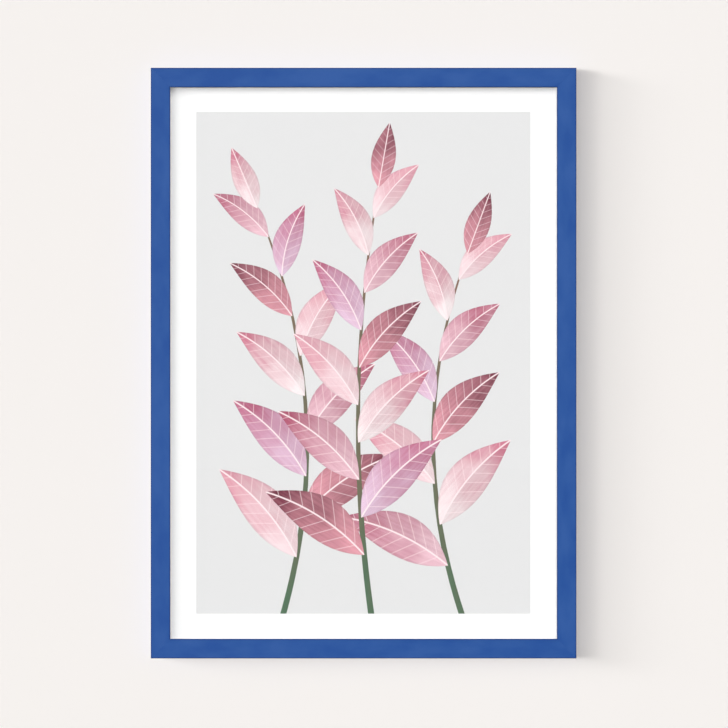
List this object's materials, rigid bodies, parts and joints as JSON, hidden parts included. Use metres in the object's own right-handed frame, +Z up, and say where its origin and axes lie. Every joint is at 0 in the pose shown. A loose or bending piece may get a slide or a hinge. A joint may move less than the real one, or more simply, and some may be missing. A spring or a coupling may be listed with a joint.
{
  "type": "framed print",
  "caption": "Wall-hung picture frame: mitred wooden rails hold glazing, a printed sheet and a backing board closed by turn buttons.",
  "frame": {"origin": "top of the middle notch of the sawtooth hanger, in the plane of its raised bar, where the wall's nail bears", "axes": "+Z up the wall, +Y from the picture towards the wall, +X to the right of someone who faces the picture"},
  "size_m": [0.449, 0.0185, 0.6231],
  "materials": {
    "painted_wood": "satin",
    "clear_acrylic": "polished",
    "print_paper": "matte",
    "filler_card": "matte",
    "hardboard": "matte",
    "zinc_steel": "satin",
    "bumper_rubber": "matte"
  },
  "bodies": {
    "frame": {"rail_top": "painted_wood", "rail_bottom": "painted_wood", "rail_left": "painted_wood", "rail_right": "painted_wood", "v_nail_top_left": "zinc_steel", "v_nail_top_right": "zinc_steel", "v_nail_bottom_left": "zinc_steel", "v_nail_bottom_right": "zinc_steel", "glazing": "clear_acrylic", "print_sheet": "print_paper", "filler_board": "filler_card", "backing_board": "hardboard", "button_screw_left_low": "zinc_steel", "button_screw_left_mid": "zinc_steel", "button_screw_left_high": "zinc_steel", "button_screw_right_low": "zinc_steel", "button_screw_right_mid": "zinc_steel", "button_screw_right_high": "zinc_steel", "hanger": "zinc_steel", "hanger_nail_left": "zinc_steel", "hanger_nail_right": "zinc_steel", "bumper_left": "bumper_rubber", "bumper_right": "bumper_rubber"},
    "button_left_low": {"turn_button_left_low": "zinc_steel"},
    "button_left_mid": {"turn_button_left_mid": "zinc_steel"},
    "button_left_high": {"turn_button_left_high": "zinc_steel"},
    "button_right_low": {"turn_button_right_low": "zinc_steel"},
    "button_right_mid": {"turn_button_right_mid": "zinc_steel"},
    "button_right_high": {"turn_button_right_high": "zinc_steel"}
  },
  "joints": [
    {"name": "turn_left_low", "type": "hinge", "parent": "frame", "child": "button_left_low", "pos_m": [-0.21775, -0.0025, -0.50175], "axis": [0, -1, 0], "range_deg": [-90, 90]},
    {"name": "turn_left_mid", "type": "hinge", "parent": "frame", "child": "button_left_mid", "pos_m": [-0.21775, -0.0025, -0.30175], "axis": [0, -1, 0], "range_deg": [-90, 90]},
    {"name": "turn_left_high", "type": "hinge", "parent": "frame", "child": "button_left_high", "pos_m": [-0.21775, -0.0025, -0.10175], "axis": [0, -1, 0], "range_deg": [-90, 90]},
    {"name": "turn_right_low", "type": "hinge", "parent": "frame", "child": "button_right_low", "pos_m": [0.21775, -0.0025, -0.50175], "axis": [0, 1, 0], "range_deg": [-90, 90]},
    {"name": "turn_right_mid", "type": "hinge", "parent": "frame", "child": "button_right_mid", "pos_m": [0.21775, -0.0025, -0.30175], "axis": [0, 1, 0], "range_deg": [-90, 90]},
    {"name": "turn_right_high", "type": "hinge", "parent": "frame", "child": "button_right_high", "pos_m": [0.21775, -0.0025, -0.10175], "axis": [0, 1, 0], "range_deg": [-90, 90]}
  ]
}
